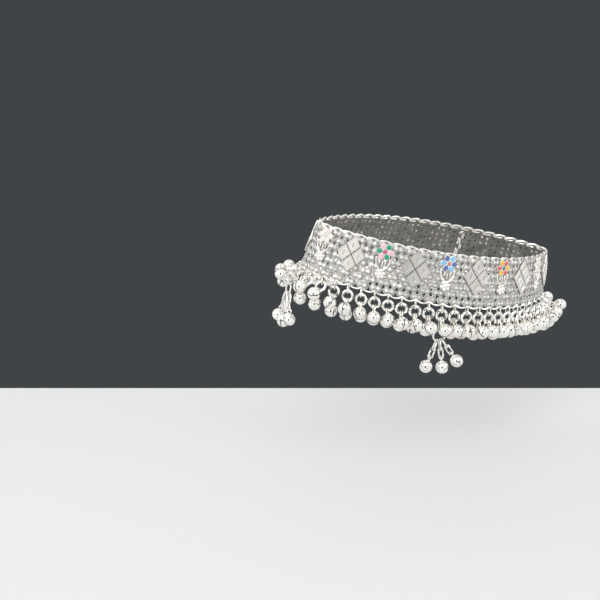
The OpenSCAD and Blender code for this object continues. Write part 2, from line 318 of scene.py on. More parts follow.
def silver_wear_and_shade_group():
    """Silver's colour, roughness and surface: cloudy polish, fine marks, and recesses darkened by painted
    shade and tarnish.
    """
    group = bpy.data.node_groups.new("silver_wear_and_shade", "ShaderNodeTree")
    for name, kind, value in (("Recess", "NodeSocketFloat", 0.8), ("Polish", "NodeSocketFloat", 0.15),
                              ("Marks", "NodeSocketFloat", 0.2)):
        group.interface.new_socket(name, in_out="INPUT", socket_type=kind).default_value = value
    group.interface.new_socket("Colour", in_out="OUTPUT", socket_type="NodeSocketColor")
    group.interface.new_socket("Roughness", in_out="OUTPUT", socket_type="NodeSocketFloat")
    group.interface.new_socket("Normal", in_out="OUTPUT", socket_type="NodeSocketVector")
    nodes, links = group.nodes, group.links
    given = nodes.new("NodeGroupInput")
    result = nodes.new("NodeGroupOutput")
    coords = nodes.new("ShaderNodeTexCoord")
    recess = nodes.new("ShaderNodeAttribute")
    recess.attribute_name = "shade_and_tarnish"
    cloud = nodes.new("ShaderNodeTexNoise")
    cloud.inputs["Scale"].default_value = 240
    cloud.inputs["Detail"].default_value = 4
    marks = nodes.new("ShaderNodeTexNoise")
    marks.inputs["Scale"].default_value = 2600
    marks.inputs["Detail"].default_value = 3
    for texture in (cloud, marks):
        links.new(coords.outputs["Object"], texture.inputs["Vector"])
    depth = nodes.new("ShaderNodeMath")
    depth.operation = "MULTIPLY"
    links.new(recess.outputs["Fac"], depth.inputs[0])
    links.new(given.outputs["Recess"], depth.inputs[1])
    patchy = nodes.new("ShaderNodeMapRange")
    patchy.inputs["To Min"].default_value = 0.75
    patchy.inputs["To Max"].default_value = 1.25
    links.new(cloud.outputs["Fac"], patchy.inputs["Value"])
    dark = nodes.new("ShaderNodeMath")
    dark.operation = "MULTIPLY"
    dark.use_clamp = True
    links.new(depth.outputs["Value"], dark.inputs[0])
    links.new(patchy.outputs["Result"], dark.inputs[1])
    warm = nodes.new("ShaderNodeValToRGB")
    warm.color_ramp.elements[0].position = 0.35
    warm.color_ramp.elements[0].color = (0.9, 0.88, 0.83, 1)
    warm.color_ramp.elements[1].position = 0.65
    warm.color_ramp.elements[1].color = (0.96, 0.95, 0.905, 1)
    links.new(cloud.outputs["Fac"], warm.inputs["Fac"])
    # Painted shade and tarnish: the marked recesses are mixed towards this dark colour.
    colour = nodes.new("ShaderNodeMix")
    colour.data_type = "RGBA"
    colour.inputs["B"].default_value = (0.09, 0.085, 0.08, 1)
    links.new(dark.outputs["Value"], colour.inputs["Factor"])
    links.new(warm.outputs["Color"], colour.inputs["A"])
    rough = nodes.new("ShaderNodeMath")
    rough.operation = "MULTIPLY_ADD"
    rough.inputs[1].default_value = 0.3
    links.new(dark.outputs["Value"], rough.inputs[0])
    links.new(given.outputs["Polish"], rough.inputs[2])
    uneven = nodes.new("ShaderNodeMath")
    uneven.operation = "MULTIPLY_ADD"
    uneven.use_clamp = True
    uneven.inputs[1].default_value = 0.08
    links.new(marks.outputs["Fac"], uneven.inputs[0])
    links.new(rough.outputs["Value"], uneven.inputs[2])
    bump = nodes.new("ShaderNodeBump")
    bump.inputs["Distance"].default_value = 0.0001
    links.new(given.outputs["Marks"], bump.inputs["Strength"])
    links.new(marks.outputs["Fac"], bump.inputs["Height"])
    links.new(colour.outputs["Result"], result.inputs["Colour"])
    links.new(uneven.outputs["Value"], result.inputs["Roughness"])
    links.new(bump.outputs["Normal"], result.inputs["Normal"])
    return group


silver_wear_and_shade = silver_wear_and_shade_group()


def silver(name, recess, polish, marks):
    """A silver finish: how dark its painted recess shade and tarnish, how rough its polish, how deep its
    marks.
    """
    finish = bpy.data.materials.new(name)
    finish.use_nodes = True
    tree = finish.node_tree
    shader = tree.nodes["Principled BSDF"]
    shader.inputs["Metallic"].default_value = 1
    wear = tree.nodes.new("ShaderNodeGroup")
    wear.node_tree = silver_wear_and_shade
    wear.inputs["Recess"].default_value = recess
    wear.inputs["Polish"].default_value = polish
    wear.inputs["Marks"].default_value = marks
    tree.links.new(wear.outputs["Colour"], shader.inputs["Base Color"])
    tree.links.new(wear.outputs["Roughness"], shader.inputs["Roughness"])
    tree.links.new(wear.outputs["Normal"], shader.inputs["Normal"])
    return finish


cast_silver = silver("cast_silver", 0.85, 0.24, 0.2)

LINK_ROWS = 7
ROW_RUN = 2.7
# The link's reach and its painted shade and tarnish, at each 30 degrees from its side arm to the notch above
# it
LINK_REACH = [2.58, 2.36, 1.74, 0.82]
LINK_DARK = [0.2, 0.7, 0.2, 0.95]
LINK_T = 0.5
# Each step's last number, and the link's sides, waist and middle, get painted shade and tarnish.
LINK_STEPS = [(0.16, 0.12, 0.2), (0.12, 0.0, 0.85)]
INNER_SIDE_DARK = 0.97
WAIST_DARK = 0.9
SADDLE_DARK = 0.35
RIDGE_RISE = 0.3
RIDGE_TOP = 1.1
LINK_TILT = 9
TILT_SEED = 1
LINK_CURL = 0.2
# A corner this near to a line counts as on it, and a cut this near to a corner goes through it
NEAR = 0.01
CUT_NEAR = 0.001
bm = bmesh.new()
bmesh.ops.create_circle(bm, cap_ends=True, segments=12, radius=1)
layer = bm.verts.layers.float.new("shade_and_tarnish")
# Painted shade and tarnish round the rim, darkest in the notches.
for v in bm.verts:
    step = round(atan2(abs(v.co.y), abs(v.co.x)) / radians(30))
    v[layer] = LINK_DARK[step]
    v.co *= LINK_REACH[step]
    v.co.z = -LINK_T / 2
face = raised(bm, LINK_T)
# Painted shade and tarnish on the sides and underside.
for v in bm.verts:
    if v.co.z < 0:
        v[layer] = INNER_SIDE_DARK
engrave(bm, face, LINK_STEPS)
# Painted shade and tarnish in the waist.
for v in face.verts:
    if abs(v.co.x) < NEAR:
        v[layer] = WAIST_DARK
inner = [face, *face.edges, *face.verts]
for way, x in (((0, 1, 0), 0), ((1, 0, 0), -RIDGE_TOP), ((1, 0, 0), 0), ((1, 0, 0), RIDGE_TOP)):
    inner = bmesh.ops.bisect_plane(bm, geom=inner, dist=CUT_NEAR, plane_co=(x, 0, 0),
                                   plane_no=way)["geom"]
# The ridge's tips get no painted shade; the saddle round the middle gets some painted shade and tarnish.
for v in bm.verts:
    if v.co.z > 0 and abs(v.co.y) < NEAR and abs(abs(v.co.x) - RIDGE_TOP) < NEAR:
        v.co.z += RIDGE_RISE
        v[layer] = 0.0
    elif v.co.z > 0 and v.co.length < LINK_T:
        v[layer] = SADDLE_DARK
for v in bm.verts:
    v.co.z += LINK_CURL * (0.5 - (v.co.x / LINK_REACH[0]) ** 2)
band_link = shape(bm)

CLASP_SLIT = 0.3
clasp_s = (flower_s(AFTER_CLASP - 1) + flower_s(AFTER_CLASP) - FLOWER_RUN / 2) / 2


def cut_link(to_slit):
    """A link cut off at the slit behind the clasp."""
    side = 1 if to_slit > 0 else -1
    bm = bmesh.new()
    bm.from_mesh(band_link)
    bmesh.ops.bisect_plane(bm, geom=whole(bm), dist=CUT_NEAR, plane_no=(side, 0, 0),
                           plane_co=(to_slit - side * CLASP_SLIT / 2, 0, 0), clear_outer=True)
    bmesh.ops.holes_fill(bm, edges=[e for e in bm.edges if e.is_boundary])
    return shape(bm)


noise.seed_set(TILT_SEED)
laid_links = []
for row in range(LINK_ROWS):
    z = (row - (LINK_ROWS - 1) / 2) * ROW_RUN
    for i in range(RINGS):
        s = ring_s(i + 0.5 * (row % 2))
        to_slit = clasp_s - s % loop
        uneven = noise.noise_vector(Vector((s, z, 0.5))) * radians(LINK_TILT)
        bm = bmesh.new()
        at_slit = abs(to_slit) < LINK_REACH[0] + CLASP_SLIT / 2
        bm.from_mesh(cut_link(to_slit) if at_slit else band_link)
        tilt = Matrix.Rotation(uneven.x, 4, "Y") @ Matrix.Rotation(uneven.y, 4, "X")
        bmesh.ops.transform(bm, verts=bm.verts, matrix=Matrix.Translation((0, 0, BAND_T / 2)) @ tilt)
        bend_on_band(bm, s, z, stretched=True)
        laid_links.append((shape(bm), [Matrix()]))
band_links = piece_from("band_links", laid_links, [cast_silver], sharp=12)
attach(band_links, "root")
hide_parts("mesh_band")

# Top edge: a row of long flattened wire loops that overlap like leaves, soldered along
# the upper row of links.
# How much painted shade a wire ring's inner side gets.
WIRE_DARK = 0.4


def wire_ring(ring_r, wire_r, steps, sides, stretch=0.0):
    """A closed wire ring in the XZ plane, drawn out along Z, with painted shade on its inner side."""
    bm = bmesh.new()
    bmesh.ops.create_circle(bm, segments=sides, radius=wire_r)
    bmesh.ops.translate(bm, verts=bm.verts, vec=(ring_r, 0, 0))
    bmesh.ops.spin(bm, geom=whole(bm), cent=(0, 0, 0), axis=(0, 1, 0), dvec=(0, 0, 0),
                   angle=2 * pi, steps=steps, use_merge=True, use_duplicate=False)
    layer = bm.verts.layers.float.new("shade_and_tarnish")
    for v in bm.verts:
        v[layer] = WIRE_DARK if hypot(v.co.x, v.co.z) < ring_r - 0.6 * wire_r else 0.0
        if abs(v.co.z) > NEAR:
            v.co.z += stretch / 2 if v.co.z > 0 else -stretch / 2
    return shape(bm)


EDGE_LOOP_W = 6.1
EDGE_LOOP_H = 1.9
EDGE_WIRE_R = 0.42
EDGE_RING_R = 0.76
EDGE_SINK = 0.1
EDGE_TURN = 9
EDGE_TIP = 5
edge_loop = wire_ring(EDGE_RING_R, EDGE_WIRE_R, 20, 6)
edge_reach = 2 * (EDGE_RING_R + EDGE_WIRE_R)
edge_loop_fit = Matrix.Diagonal((EDGE_LOOP_W / edge_reach, 1, EDGE_LOOP_H / edge_reach, 1))
edge_tilt = Matrix.Rotation(radians(EDGE_TURN), 4, "Z") @ Matrix.Rotation(radians(EDGE_TIP), 4, "Y")
places = [on_band(ring_s(i), BAND_H / 2 - EDGE_SINK, BAND_T / 2) @ edge_tilt @ edge_loop_fit
          for i in range(RINGS)]
edge_loops = piece_from("edge_loops", [(edge_loop, places)], [cast_silver])
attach(edge_loops, "root")
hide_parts("top_wire")

# Lower edge: a sagging arch of wire between each two hooks, and the hooks, which are
# long loops of thin wire set square to the band. Hooks and arches are soldered together.
polished_silver = silver("polished_silver", 0.8, 0.06, 0.12)
FRONT_FLARE = 58
BACK_FLARE = 42
FLARE_RUN = 34
GAP = 0.1
RING_R = 2.05
RING_WIRE_R = 0.45
HOOK_WIRE = 0.5
HOOK_LEN = 3.5
HOOK_TOP = 0.1


def flare(s):
    """The fringe's outward swing, largest at the front and back ends."""
    t = min(s % loop, loop - s % loop)

    def fade(d):
        return 0 if d > FLARE_RUN else (1 + cos(pi * d / FLARE_RUN)) / 2

    return radians(FRONT_FLARE * fade(t) + BACK_FLARE * fade(half_loop - t))


def hanging(s):
    """A place under the lower edge: what hangs there goes down, swung outward."""
    x, y, turn = wall_spot(s, BAND_T / 2 + LEAN * BAND_H / 2)
    return (Matrix.Translation(worn @ Vector((x, y, -BAND_H / 2)))
            @ Matrix.Rotation(turn + pi / 2, 4, "Z") @ Matrix.Rotation(-flare(s), 4, "X"))


ARCH_SAG = 0.9
ARCH_WIRE_R = 0.34
ARCH_OVERLAP = 0.25
ARCH_RISE = 0.35
ARCH_OUT = 0.15
ring_run = loop / RINGS
arch_r = ((ring_run / 2) ** 2 + ARCH_SAG ** 2) / (2 * ARCH_SAG)
arch_turn = atan2(ring_run / 2 + ARCH_OVERLAP, arch_r - ARCH_SAG)
bm = bmesh.new()
bmesh.ops.create_circle(bm, cap_ends=True, segments=6, radius=ARCH_WIRE_R)
bmesh.ops.rotate(bm, verts=bm.verts, matrix=Matrix.Rotation(pi / 2, 3, "Y"))
bmesh.ops.translate(bm, verts=bm.verts, vec=(0, 0, -arch_r))
bmesh.ops.rotate(bm, verts=bm.verts, matrix=Matrix.Rotation(arch_turn, 3, "Y"))
bmesh.ops.spin(bm, geom=whole(bm), cent=(0, 0, 0), axis=(0, 1, 0),
               dvec=(0, 0, 0), angle=-2 * arch_turn, steps=8, use_merge=False, use_duplicate=False)
bmesh.ops.translate(bm, verts=bm.verts, vec=(0, 0, arch_r - ARCH_SAG))
arch = shape(bm)
arch_places = [on_band(ring_s(i + 0.5), -BAND_H / 2 + ARCH_RISE, BAND_T / 2 + ARCH_OUT)
               for i in range(RINGS)]
HOOK_DROP = 0.25
HOOK_R = 0.95
hook = wire_ring(HOOK_R, HOOK_WIRE / 2, 16, 6, stretch=HOOK_LEN + HOOK_DROP - 2 * HOOK_R - HOOK_WIRE)
hook_fit = (Matrix.Translation((0, 0, HOOK_TOP - (HOOK_LEN + HOOK_DROP) / 2))
            @ Matrix.Rotation(pi / 2, 4, "Z"))
hook_places = [hanging(ring_s(i)) @ hook_fit for i in range(RINGS)]
lower_edge = piece_from("lower_edge", [(arch, arch_places), (hook, hook_places)], [polished_silver])
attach(lower_edge, "root")
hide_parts("hook_wire_row")

# Clasp: a plain silver barrel over the gap in the mesh on the far side, closed by a pin
# through it.
CLASP_R = 1.3
CLASP_H = 14
CLASP_EDGE = 0.3
PIN_HEAD_R = 0.75
bm = bmesh.new()
bmesh.ops.create_cone(bm, cap_ends=True, segments=24, radius1=CLASP_R, radius2=CLASP_R, depth=CLASP_H)
bmesh.ops.bevel(bm, geom=[e for e in bm.edges if len({round(v.co.z, 3) for v in e.verts}) == 1],
                offset=CLASP_EDGE, affect="EDGES", segments=3, profile=0.5, material=-1)
barrel = shape(bm)
bm = bmesh.new()
bmesh.ops.create_uvsphere(bm, u_segments=16, v_segments=10, radius=PIN_HEAD_R)
pin_head = shape(bm)
clasp_place = on_band(clasp_s, 0, BAND_T + GAP + CLASP_R)
clasp = piece_from("clasp", [
    (barrel, [clasp_place]),
    (pin_head, [clasp_place @ Matrix.Translation((0, 0, side * CLASP_H / 2)) for side in (-1, 1)]),
], [polished_silver])
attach(clasp, "root")
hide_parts("clasp_bar")

# Diamond plates: cast silver rhombs of four small rhombs, each engraved with ridges round
# a pit, with deep grooves between them, darkened with painted shade and tarnish. They are
# soldered on the mesh.
engraved_silver = silver("engraved_silver", 0.9, 0.32, 0.2)
DIAMOND_W = 12.2
DIAMOND_H = 14.8
DIAMOND_GROOVE = 0.56
PLATE_IN = 0.7
PLATE_T = 0.7
DIAMOND_RISE = 0.45
BACKING_INSET = 0.4
RHOMB_SINK = 0.1
DIAMOND_SLICE = 1.1
DIAMOND_DROP = 0.1
# Painted shade and tarnish on the backing: strong in the grooves, light on its sides.
GROOVE_DARK = 0.95
BACK_DARK = 0.3
# Each engraving step's last number is its painted shade and tarnish, deepest in the valleys and the pit.
RHOMB_STEPS = ([(0.1, 0.1, 0.0), (0.2, 0, 0.0)]
               + [(0.13, -0.18, 0.65), (0.13, 0, 0.65), (0.13, 0.18, 0.0), (0.35, 0, 0.0)] * 2
               + [(0.13, -0.18, 0.5)])
diamond_z = BAND_H / 2 - DIAMOND_H / 2 - DIAMOND_DROP


def rhomb(width, z):
    """A flat outline in the diamond's proportions."""
    bm = bmesh.new()
    bmesh.ops.create_circle(bm, cap_ends=True, segments=4, radius=1)
    bmesh.ops.scale(bm, verts=bm.verts, vec=(width / 2, width / 2 * DIAMOND_H / DIAMOND_W, 1))
    bmesh.ops.translate(bm, verts=bm.verts, vec=(0, 0, z))
    return bm


def sliced(parts, half_width, run):
    """Flat parts as one shape, cut across often enough to bend with the band."""
    bm = bmesh.new()
    bm.verts.layers.float.new("shade_and_tarnish")
    for made, places in parts:
        add_copies(bm, made, places)
    for k in range(1, int(2 * half_width / run) + 1):
        bmesh.ops.bisect_plane(bm, geom=whole(bm), dist=CUT_NEAR, plane_no=(1, 0, 0),
                               plane_co=(k * run - half_width, 0, 0))
    made = bpy.data.meshes.new("shape")
    bm.to_mesh(made)
    bm.free()
    return made


bm = rhomb(DIAMOND_W - BACKING_INSET, PLATE_IN)
raised(bm, PLATE_T)
backing = shape(bm, lambda co: GROOVE_DARK if co.z > PLATE_IN + PLATE_T / 2 else BACK_DARK)
bm = rhomb(DIAMOND_W / 2 - DIAMOND_GROOVE, PLATE_IN + PLATE_T - RHOMB_SINK)
engrave(bm, raised(bm, DIAMOND_RISE), RHOMB_STEPS)
small_rhomb = shape(bm)
quarters = [Matrix.Translation((dx * DIAMOND_W / 4, dy * DIAMOND_H / 4, 0))
            for dx, dy in ((-1, 0), (1, 0), (0, -1), (0, 1))]
diamond = sliced([(backing, [Matrix()]), (small_rhomb, quarters)], DIAMOND_W / 2, DIAMOND_SLICE)
for i in range(PAIRS):
    plate = piece_from("diamond_%d" % (i + 1), [(diamond, [Matrix()])], [engraved_silver], sharp=25,
                       bend=(flower_s(i) - FLOWER_RUN / 2, diamond_z))
    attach(plate, "root")
    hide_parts("diamond_plate_%d" % (i + 1))

# Flower plaques: a setting with a bezel of wire round each petal, a cup of two curved arms
# with a bud in it and a small blossom below. They are cast and soldered on the mesh.
FLOWER_DROP = 3.4
PETAL_RING_R = 2.2
PETAL_REACH = 1.2
PLAQUE_SLICE = 0.85
# Setting
SETTING_R = 2.75
LOBE_SWELL = 0.2
SETTING_SINK = 0.1
# Steps of run, rise and painted shade and tarnish on the setting's inner edges.
SETTING_STEPS = [(0.1, 0.1, 0.2), (0.2, 0, 0.35)]
# Bezels
BEZEL_WIRE_R = 0.12
PETAL_BEZEL = (1.24, 1.05, 1.6, 1)
PETAL_BEZEL_RISE = 0.1
MIDDLE_BEZEL = (0.95, 0.95, 1.8, 1)
MIDDLE_BEZEL_RISE = 0.12
# Cup
CUP_R = 4.3
CUP_SIDE = 1.6
CUP_Z = -3.4
CUP_WIRE_R = 0.36
CUP_START = -68
CUP_TURN = 80
CUP_FLAT = 1.6
CUP_SINK = 0.25
CUP_TIP = (2.75, -2.7)
CUP_TIP_BEAD = (0.5, 0.5, 0.6)
# Bud, as each bead's place and length
BUD_BEADS = ((-1.15, -4.3, 1.0), (0, -4.9, 1.5), (1.15, -4.3, 1.0))
BUD_W = 0.32
BUD_RISE = 0.5
BEAD_SINK = 0.2
# Painted shade on the beads' undersides, below the foot height.
BEAD_DARK = 0.4
BEAD_FOOT = 0.3
# Blossom
BLOSSOM_Z = -8.7
BLOSSOM_R = 2
BLOSSOM_RING_R = 1.4
BLOSSOM_BEAD = (0.85, 0.7, 0.6)
BLOSSOM_MIDDLE = (0.85, 0.85, 0.75)
BLOSSOM_BEAD_SINK = 0.1
BLOSSOM_TURN = 0.3
BLOSSOM_SINK = 0.2
# Painted shade on the sunk base between the blossom's beads.
BLOSSOM_DARK = 0.3
# Stem
STEM_W = 1
STEM_LEN = 5
STEM_Z = -4.8
STEM_SINK = 0.3
# Painted shade and tarnish on the sunk stem.
STEM_DARK = 0.7
flower_z = BAND_H / 2 - FLOWER_DROP
plate_top = PLATE_IN + PLATE_T
petal_turns = [k * pi / 3 for k in range(6)]
bm = bmesh.new()
bmesh.ops.create_circle(bm, cap_ends=True, segments=48, radius=SETTING_R)
for v in bm.verts:
    v.co *= 1 + LOBE_SWELL * cos(6 * atan2(v.co.y, v.co.x))
    v.co.z = PLATE_IN
engrave(bm, raised(bm, PLATE_T - SETTING_SINK), SETTING_STEPS)
setting = shape(bm)
bezel = wire_ring(1, BEZEL_WIRE_R, 18, 6)
flat_bezel = Matrix.Rotation(pi / 2, 4, "X")
bezels = [Matrix.Rotation(t, 4, "Z") @ Matrix.Translation((PETAL_RING_R, 0, plate_top + PETAL_BEZEL_RISE))
          @ Matrix.Diagonal(PETAL_BEZEL) @ flat_bezel for t in petal_turns]
bezels.append(Matrix.Translation((0, 0, plate_top + MIDDLE_BEZEL_RISE)) @ Matrix.Diagonal(MIDDLE_BEZEL)
              @ flat_bezel)
bm = bmesh.new()
bmesh.ops.create_circle(bm, cap_ends=True, segments=8, radius=CUP_WIRE_R)
bmesh.ops.rotate(bm, verts=bm.verts, matrix=Matrix.Rotation(pi / 2, 3, "X"))
bmesh.ops.translate(bm, verts=bm.verts, vec=(CUP_R, 0, 0))
bmesh.ops.rotate(bm, verts=bm.verts, matrix=Matrix.Rotation(radians(CUP_START), 3, "Z"))
bmesh.ops.spin(bm, geom=whole(bm), cent=(0, 0, 0), axis=(0, 0, 1),
               dvec=(0, 0, 0), angle=radians(CUP_TURN), steps=12, use_merge=False, use_duplicate=False)
cup_arm = shape(bm)
cup_arms = [Matrix.Translation((-side * CUP_SIDE, CUP_Z, plate_top - CUP_SINK))
            @ Matrix.Diagonal((side, 1, CUP_FLAT, 1)) for side in (-1, 1)]
bm = bmesh.new()
bmesh.ops.create_uvsphere(bm, u_segments=12, v_segments=8, radius=1)
bead = shape(bm, lambda co: BEAD_DARK if co.z < BEAD_FOOT else 0.0)


def bead_at(x, y, z, rx, ry, rz):
    """The place of a round bead drawn out to three radii."""
    return Matrix.Translation((x, y, z)) @ Matrix.Diagonal((rx, ry, rz, 1))


bud = [bead_at(x, y, plate_top - BEAD_SINK, BUD_W, length, BUD_RISE) for x, y, length in BUD_BEADS]
cup_tips = [bead_at(side * CUP_TIP[0], CUP_TIP[1], plate_top - BEAD_SINK, *CUP_TIP_BEAD) for side in (-1, 1)]
blossom_turns = [k * 2 * pi / 6 + BLOSSOM_TURN for k in range(6)]
blossom = [Matrix.Translation((0, BLOSSOM_Z, plate_top - BLOSSOM_BEAD_SINK)) @ Matrix.Rotation(t, 4, "Z")
           @ bead_at(BLOSSOM_RING_R, 0, 0, *BLOSSOM_BEAD) for t in blossom_turns]
blossom.append(bead_at(0, BLOSSOM_Z, plate_top, *BLOSSOM_MIDDLE))
bm = bmesh.new()
bmesh.ops.create_circle(bm, cap_ends=True, segments=24, radius=BLOSSOM_R)
bmesh.ops.translate(bm, verts=bm.verts, vec=(0, BLOSSOM_Z, PLATE_IN))
raised(bm, PLATE_T - BLOSSOM_SINK)
blossom_base = shape(bm, lambda co: BLOSSOM_DARK)
stem_t = PLATE_T - STEM_SINK
bm = bmesh.new()
bmesh.ops.create_cube(bm, size=1)
bmesh.ops.scale(bm, verts=bm.verts, vec=(STEM_W, STEM_LEN, stem_t))
bmesh.ops.translate(bm, verts=bm.verts, vec=(0, STEM_Z, PLATE_IN + stem_t / 2))
stem = shape(bm, lambda co: STEM_DARK)
plaque = sliced([(setting, [Matrix()]), (bezel, bezels), (cup_arm, cup_arms),
                 (bead, bud + cup_tips + blossom), (blossom_base, [Matrix()]), (stem, [Matrix()])],
                PETAL_RING_R + PETAL_REACH, PLAQUE_SLICE)
for i in range(PAIRS):
    plate = piece_from("plaque_%d" % (i + 1), [(plaque, [Matrix()])], [engraved_silver],
                       bend=(flower_s(i), flower_z))
    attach(plate, "root")
    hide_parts("flower_plaque_%d" % (i + 1))

# Enamel: glass fired into the bezels, domed by its own surface. Each flower has two
# colours of petal in turn and a third in the middle.


def enamel(name, colour, deep):
    """Glossy enamel, a little darker and bluer where it lies thick."""
    finish = bpy.data.materials.new(name)
    finish.use_nodes = True
    tree = finish.node_tree
    shader = tree.nodes["Principled BSDF"]
    shader.inputs["Roughness"].default_value = 0.12
    shader.inputs["Coat Weight"].default_value = 0.6
    shader.inputs["Coat Roughness"].default_value = 0.04
    coords = tree.nodes.new("ShaderNodeTexCoord")
    cloud = tree.nodes.new("ShaderNodeTexNoise")
    cloud.inputs["Scale"].default_value = 900
    cloud.inputs["Detail"].default_value = 3
    ramp = tree.nodes.new("ShaderNodeValToRGB")
    ramp.color_ramp.elements[0].position = 0.3
    ramp.color_ramp.elements[0].color = (*deep, 1)
    ramp.color_ramp.elements[1].position = 0.6
    ramp.color_ramp.elements[1].color = (*colour, 1)
    bump = tree.nodes.new("ShaderNodeBump")
    bump.inputs["Strength"].default_value = 0.15
    bump.inputs["Distance"].default_value = 0.0001
    tree.links.new(coords.outputs["Object"], cloud.inputs["Vector"])
    tree.links.new(cloud.outputs["Fac"], ramp.inputs["Fac"])
    tree.links.new(ramp.outputs["Color"], shader.inputs["Base Color"])
    tree.links.new(cloud.outputs["Fac"], bump.inputs["Height"])
    tree.links.new(bump.outputs["Normal"], shader.inputs["Normal"])
    return finish


# The petals' first and second colour and the middle's, by the node's slot. The two flowers
# at the ends of the outer side are so pale that they show no colour.
enamel_sets = {
    "enamel_green": [enamel("enamel_pink", (0.93, 0.52, 0.62), (0.85, 0.4, 0.52)),
                     enamel("enamel_teal", (0.005, 0.33, 0.18), (0.005, 0.24, 0.15)),
                     enamel("enamel_magenta", (0.55, 0.12, 0.22), (0.45, 0.08, 0.16))],
    "enamel_blue": [enamel("enamel_navy", (0.09, 0.16, 0.42), (0.05, 0.1, 0.3)),
                    enamel("enamel_sky", (0.24, 0.54, 0.8), (0.14, 0.42, 0.7)),
                    enamel("enamel_salmon", (0.66, 0.26, 0.23), (0.52, 0.18, 0.17))],
    "enamel_yellow": [enamel("enamel_amber", (0.86, 0.52, 0.01), (0.75, 0.38, 0.01)),
                      enamel("enamel_rose", (0.74, 0.12, 0.16), (0.6, 0.05, 0.08)),
                      enamel("enamel_lagoon", (0.005, 0.24, 0.22), (0.005, 0.16, 0.17))],
}
SLOT_ORDER = ("enamel_yellow", "enamel_green", "enamel_blue")
PALE_FLOWERS = (0, 4)
pale_set = [enamel("enamel_pearl", (0.84, 0.83, 0.76), (0.72, 0.71, 0.63)),
            enamel("enamel_blush", (0.86, 0.74, 0.7), (0.76, 0.62, 0.58)),
            enamel("enamel_mist", (0.72, 0.73, 0.66), (0.6, 0.6, 0.54))]
PETAL_DOME = (1.2, 1.0, 0.38)
MIDDLE_DOME = (0.88, 0.88, 0.42)
petal_domes = []
for kind in range(3):
    bm = bmesh.new()
    bmesh.ops.create_uvsphere(bm, u_segments=18, v_segments=8, radius=1)
    bmesh.ops.bisect_plane(bm, geom=whole(bm), dist=CUT_NEAR, plane_co=(0, 0, 0),
                           plane_no=(0, 0, -1), clear_outer=True)
    bmesh.ops.holes_fill(bm, edges=[e for e in bm.edges if e.is_boundary])
    for face in bm.faces:
        face.material_index = kind
    petal_domes.append(shape(bm))
petal_seat = plate_top + GAP / 2
petals = [[], []]
for k, turn in enumerate(petal_turns):
    petals[k % 2].append(Matrix.Rotation(turn, 4, "Z") @ bead_at(PETAL_RING_R, 0, petal_seat, *PETAL_DOME))
middle = [bead_at(0, 0, petal_seat, *MIDDLE_DOME)]
for i in range(PAIRS):
    slot_name = SLOT_ORDER[i % 3]
    colours = pale_set if i in PALE_FLOWERS else enamel_sets[slot_name]
    flower = piece_from("enamel_%d" % (i + 1), list(zip(petal_domes, (*petals, middle))), colours,
                        bend=(flower_s(i), flower_z))
    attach(flower, "root")
    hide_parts("enamel_flower_%d" % (i + 1))

# Jump rings: thick polished silver wire, bent round and closed through the hooks. They are
# loose, and their wire is drawn a little thicker than the plain ring's.
DRAWN_RING_R = 2.0
DRAWN_RING_WIRE_R = 0.57
ring_z = HOOK_TOP - HOOK_LEN + HOOK_WIRE + GAP + RING_WIRE_R - RING_R
ring_foot_z = ring_z - RING_R
jump_ring = wire_ring(DRAWN_RING_R, DRAWN_RING_WIRE_R, 28, 8)
places = [hanging(ring_s(i)) @ Matrix.Translation((0, 0, ring_z)) for i in range(RINGS)]
jump_rings = piece_from("rings", [(jump_ring, places)], [polished_silver])
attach(jump_rings, "root")
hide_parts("jump_rings")

# Bells: two pressed silver cups joined at a seam, slit below, with a wire eye soldered on
# top. One row hangs outside and one lower down inside.
BELL_R = 2.55
BALL_R = 2.63
SEAM_H = 0.16
SEAM_DEPTH = 0.16
SLIT_TOP = 0.5
SLIT_W = 0.4
SLIT_END_R = 0.4
CAP_R = 0.7
CAP_FLAT = 0.55
CAP_SINK = 0.1
EYE_R = 0.9
EYE_WIRE_R = 0.26
EYE_SPARE = 0.2
EYE_SINK = 0.15
FOOT_RISE = 0.07
eye_slack = EYE_R - EYE_WIRE_R - RING_WIRE_R - GAP - FOOT_RISE
bm = bmesh.new()
bmesh.ops.create_uvsphere(bm, u_segments=24, v_segments=16, radius=BALL_R)
for z in (-SEAM_H, SEAM_H):
    bmesh.ops.bisect_plane(bm, geom=whole(bm), dist=CUT_NEAR, plane_co=(0, 0, z),
                           plane_no=(0, 0, 1))
seam = [v for v in bm.verts if abs(v.co.z) < NEAR]
bmesh.ops.scale(bm, verts=seam, vec=(1 - SEAM_DEPTH / BALL_R, 1 - SEAM_DEPTH / BALL_R, 1))
ball = bpy.data.objects.new("ball", shape(bm))
bm = bmesh.new()
bmesh.ops.create_cube(bm, size=1)
bmesh.ops.scale(bm, verts=bm.verts, vec=(3 * BALL_R, SLIT_W, 2 * (BALL_R + SLIT_TOP)))
bmesh.ops.translate(bm, verts=bm.verts, vec=(0, 0, -BALL_R))
slit = bpy.data.objects.new("slit", shape(bm))
bm = bmesh.new()
bmesh.ops.create_cone(bm, cap_ends=True, segments=10, radius1=SLIT_END_R, radius2=SLIT_END_R,
                      depth=3 * BALL_R)
bmesh.ops.rotate(bm, verts=bm.verts, matrix=Matrix.Rotation(pi / 2, 3, "Y"))
bmesh.ops.translate(bm, verts=bm.verts, vec=(0, 0, SLIT_TOP))
slit_ends = bpy.data.objects.new("slit_ends", shape(bm))
for part in (ball, slit, slit_ends):
    bpy.context.collection.objects.link(part)
for cutter in (slit, slit_ends):
    cut = ball.modifiers.new("cut", "BOOLEAN")
    cut.object = cutter
    cut.operation = "DIFFERENCE"
bm = bmesh.new()
bm.from_mesh(ball.evaluated_get(bpy.context.evaluated_depsgraph_get()).to_mesh())
for part in (ball, slit, slit_ends):
    bpy.data.objects.remove(part)
